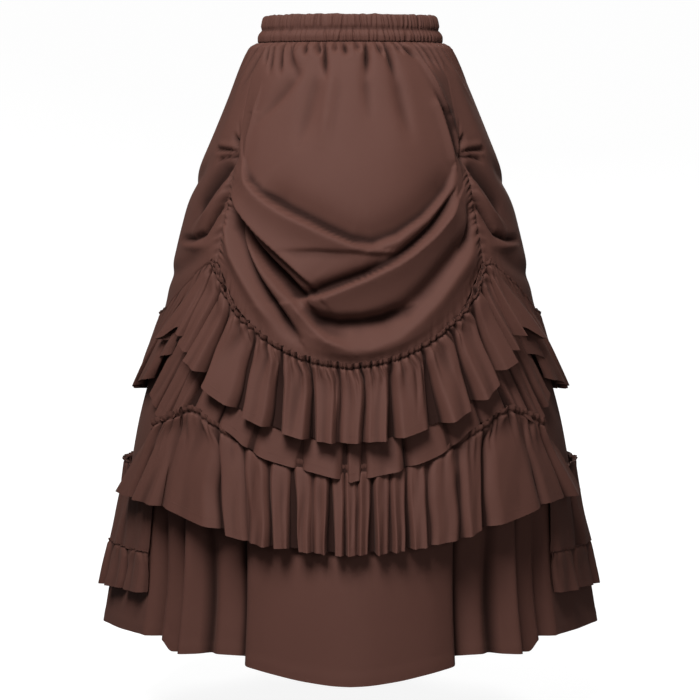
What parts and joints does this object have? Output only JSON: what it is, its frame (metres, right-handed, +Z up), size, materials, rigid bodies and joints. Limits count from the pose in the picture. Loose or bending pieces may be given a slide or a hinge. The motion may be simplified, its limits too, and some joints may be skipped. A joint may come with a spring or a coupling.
{
  "type": "tiered ruffle skirt",
  "caption": "Long filled-out skirt with an elastic waistband, an overskirt drawn up at the sides into swags, gathered ruffles on both layers and a flaring hem.",
  "frame": {"origin": "centre of the waistband's ring, where the wearer's waist holds it", "axes": "+Z up along the wearer, -Y towards the front, +X to the right as seen from the front"},
  "size_m": [0.7522, 0.6878, 0.905],
  "materials": {
    "skirt_fabric": "plain woven polyester, matt with a slight soft sheen, brown"
  },
  "bodies": {
    "root": {"waistband": "skirt_fabric", "underskirt_front": "skirt_fabric", "underskirt_back": "skirt_fabric", "overskirt_front": "skirt_fabric", "overskirt_back": "skirt_fabric", "overskirt_ruffle_upper": "skirt_fabric", "overskirt_ruffle_lower": "skirt_fabric", "overskirt_ruffle_back": "skirt_fabric", "underskirt_ruffle_front": "skirt_fabric", "underskirt_tier_back": "skirt_fabric", "underskirt_ruffle_back": "skirt_fabric"}
  },
  "joints": []
}
